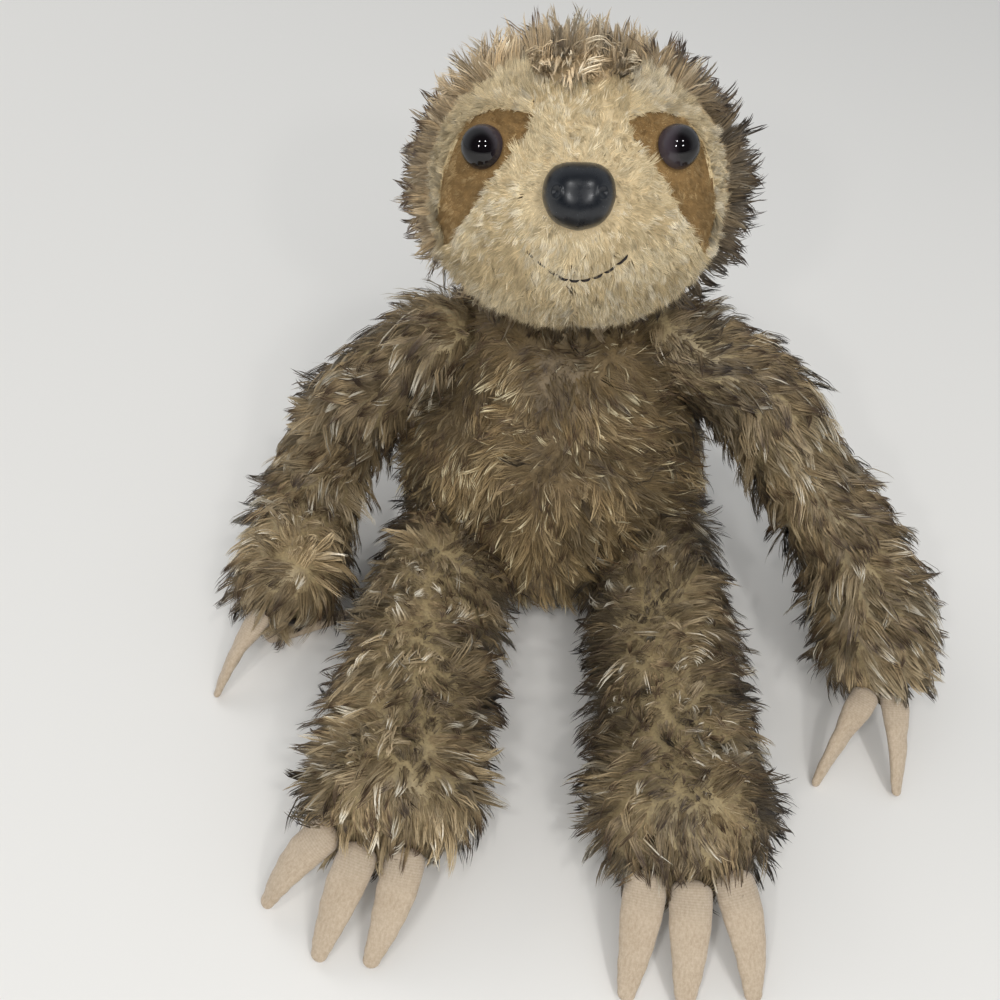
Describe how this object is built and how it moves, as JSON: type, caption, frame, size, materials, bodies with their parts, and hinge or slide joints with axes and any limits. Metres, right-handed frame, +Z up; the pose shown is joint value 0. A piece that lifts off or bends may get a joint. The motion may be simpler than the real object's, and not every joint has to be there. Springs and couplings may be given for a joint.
{
  "type": "plush toy sloth",
  "caption": "Sitting plush sloth with a fur body and head, a sewn pale face, safety eyes and nose, jointed limbs and soft flat claws.",
  "frame": {"origin": "on the flat of the seat, under the middle of the body, at floor level", "axes": "+Z up; the toy faces -Y; its own left side is +X"},
  "size_m": [0.2978, 0.2916, 0.241],
  "materials": {
    "fur": "long pile fur, matt",
    "face_plush": "short plush, matt",
    "patch_velour": "velour, matt",
    "claw_fleece": "fleece, matt",
    "black_plastic": "polished",
    "washer_plastic": "moulded",
    "thread": "twisted thread",
    "fibre_fill": "loose fibre",
    "pouch_cloth": "plain weave"
  },
  "bodies": {
    "torso": {"body_front_panel": "fur", "body_back_panel": "fur", "body_stuffing": "fibre_fill", "seat_pellet_pouch": "pouch_cloth"},
    "head": {"head_fur_skin": "fur", "head_stuffing": "fibre_fill", "muzzle_panel": "face_plush", "left_brow_panel": "face_plush", "right_brow_panel": "face_plush", "left_eye_patch": "patch_velour", "right_eye_patch": "patch_velour", "left_safety_eye": "black_plastic", "right_safety_eye": "black_plastic", "left_eye_washer": "washer_plastic", "right_eye_washer": "washer_plastic", "safety_nose": "black_plastic", "nose_washer": "washer_plastic", "mouth_stitching": "thread"},
    "left_arm": {"left_arm_fur_sleeve": "fur", "left_arm_stuffing": "fibre_fill"},
    "left_arm_inner_claw": {"left_arm_inner_claw": "claw_fleece"},
    "left_arm_outer_claw": {"left_arm_outer_claw": "claw_fleece"},
    "right_arm": {"right_arm_fur_sleeve": "fur", "right_arm_stuffing": "fibre_fill"},
    "right_arm_inner_claw": {"right_arm_inner_claw": "claw_fleece"},
    "right_arm_outer_claw": {"right_arm_outer_claw": "claw_fleece"},
    "left_leg": {"left_leg_fur_sleeve": "fur", "left_leg_stuffing": "fibre_fill"},
    "left_leg_inner_claw": {"left_leg_inner_claw": "claw_fleece"},
    "left_leg_middle_claw": {"left_leg_middle_claw": "claw_fleece"},
    "left_leg_outer_claw": {"left_leg_outer_claw": "claw_fleece"},
    "right_leg": {"right_leg_fur_sleeve": "fur", "right_leg_stuffing": "fibre_fill"},
    "right_leg_inner_claw": {"right_leg_inner_claw": "claw_fleece"},
    "right_leg_middle_claw": {"right_leg_middle_claw": "claw_fleece"},
    "right_leg_outer_claw": {"right_leg_outer_claw": "claw_fleece"}
  },
  "joints": [
    {"name": "neck", "type": "hinge", "parent": "torso", "child": "head", "pos_m": [0, -0.0002, 0.1405], "axis": [-1, 0, 0], "range_deg": [-15, 15]},
    {"name": "left_shoulder", "type": "hinge", "parent": "torso", "child": "left_arm", "pos_m": [0.048, 0, 0.11], "axis": [-1, 0, 0], "range_deg": [-20, 75]},
    {"name": "right_shoulder", "type": "hinge", "parent": "torso", "child": "right_arm", "pos_m": [-0.048, 0, 0.11], "axis": [-1, 0, 0], "range_deg": [-20, 75]},
    {"name": "left_hip", "type": "hinge", "parent": "torso", "child": "left_leg", "pos_m": [0.042, -0.038, 0.026], "axis": [-1, 0, 0], "range_deg": [-30, 25]},
    {"name": "right_hip", "type": "hinge", "parent": "torso", "child": "right_leg", "pos_m": [-0.042, -0.038, 0.026], "axis": [-1, 0, 0], "range_deg": [-30, 25]},
    {"name": "left_arm_inner_claw_flex", "type": "hinge", "parent": "left_arm", "child": "left_arm_inner_claw", "pos_m": [0.12172, -0.11958, 0.02345], "axis": [-0.7774, 0.629, 0], "range_deg": [-15, 30], "stiffness_Nm_per_rad": 0.002},
    {"name": "left_arm_outer_claw_flex", "type": "hinge", "parent": "left_arm", "child": "left_arm_outer_claw", "pos_m": [0.13321, -0.12017, 0.02345], "axis": [-0.9987, 0.0519, 0], "range_deg": [-15, 30], "stiffness_Nm_per_rad": 0.002},
    {"name": "left_leg_inner_claw_flex", "type": "hinge", "parent": "left_leg", "child": "left_leg_inner_claw", "pos_m": [0.02681, -0.20028, 0.026], "axis": [-0.9748, 0.223, 0], "range_deg": [-15, 30], "stiffness_Nm_per_rad": 0.002},
    {"name": "left_leg_middle_claw_flex", "type": "hinge", "parent": "left_leg", "child": "left_leg_middle_claw", "pos_m": [0.04201, -0.2036, 0.026], "axis": [-0.9947, 0.1025, 0], "range_deg": [-15, 30], "stiffness_Nm_per_rad": 0.002},
    {"name": "left_leg_outer_claw_flex", "type": "hinge", "parent": "left_leg", "child": "left_leg_outer_claw", "pos_m": [0.05721, -0.20021, 0.026], "axis": [-0.9607, -0.2776, 0], "range_deg": [-15, 30], "stiffness_Nm_per_rad": 0.002},
    {"name": "right_arm_inner_claw_flex", "type": "hinge", "parent": "right_arm", "child": "right_arm_inner_claw", "pos_m": [-0.12524, -0.07034, 0.0038], "axis": [0, 0, 1], "range_deg": [-36, 0], "stiffness_Nm_per_rad": 0.002},
    {"name": "right_arm_outer_claw_flex", "type": "hinge", "parent": "right_arm", "child": "right_arm_outer_claw", "pos_m": [-0.12594, -0.07873, 0.02345], "axis": [-0.8112, 0.5847, 0], "range_deg": [-15, 30], "stiffness_Nm_per_rad": 0.002},
    {"name": "right_leg_inner_claw_flex", "type": "hinge", "parent": "right_leg", "child": "right_leg_inner_claw", "pos_m": [-0.05759, -0.19138, 0.026], "axis": [-0.9777, 0.2101, 0], "range_deg": [-15, 30], "stiffness_Nm_per_rad": 0.002},
    {"name": "right_leg_middle_claw_flex", "type": "hinge", "parent": "right_leg", "child": "right_leg_middle_claw", "pos_m": [-0.07423, -0.18967, 0.026], "axis": [-0.9196, 0.3928, 0], "range_deg": [-15, 30], "stiffness_Nm_per_rad": 0.002},
    {"name": "right_leg_outer_claw_flex", "type": "hinge", "parent": "right_leg", "child": "right_leg_outer_claw", "pos_m": [-0.08705, -0.1815, 0.026], "axis": [-0.5573, 0.8303, 0], "range_deg": [-15, 30], "stiffness_Nm_per_rad": 0.002}
  ]
}
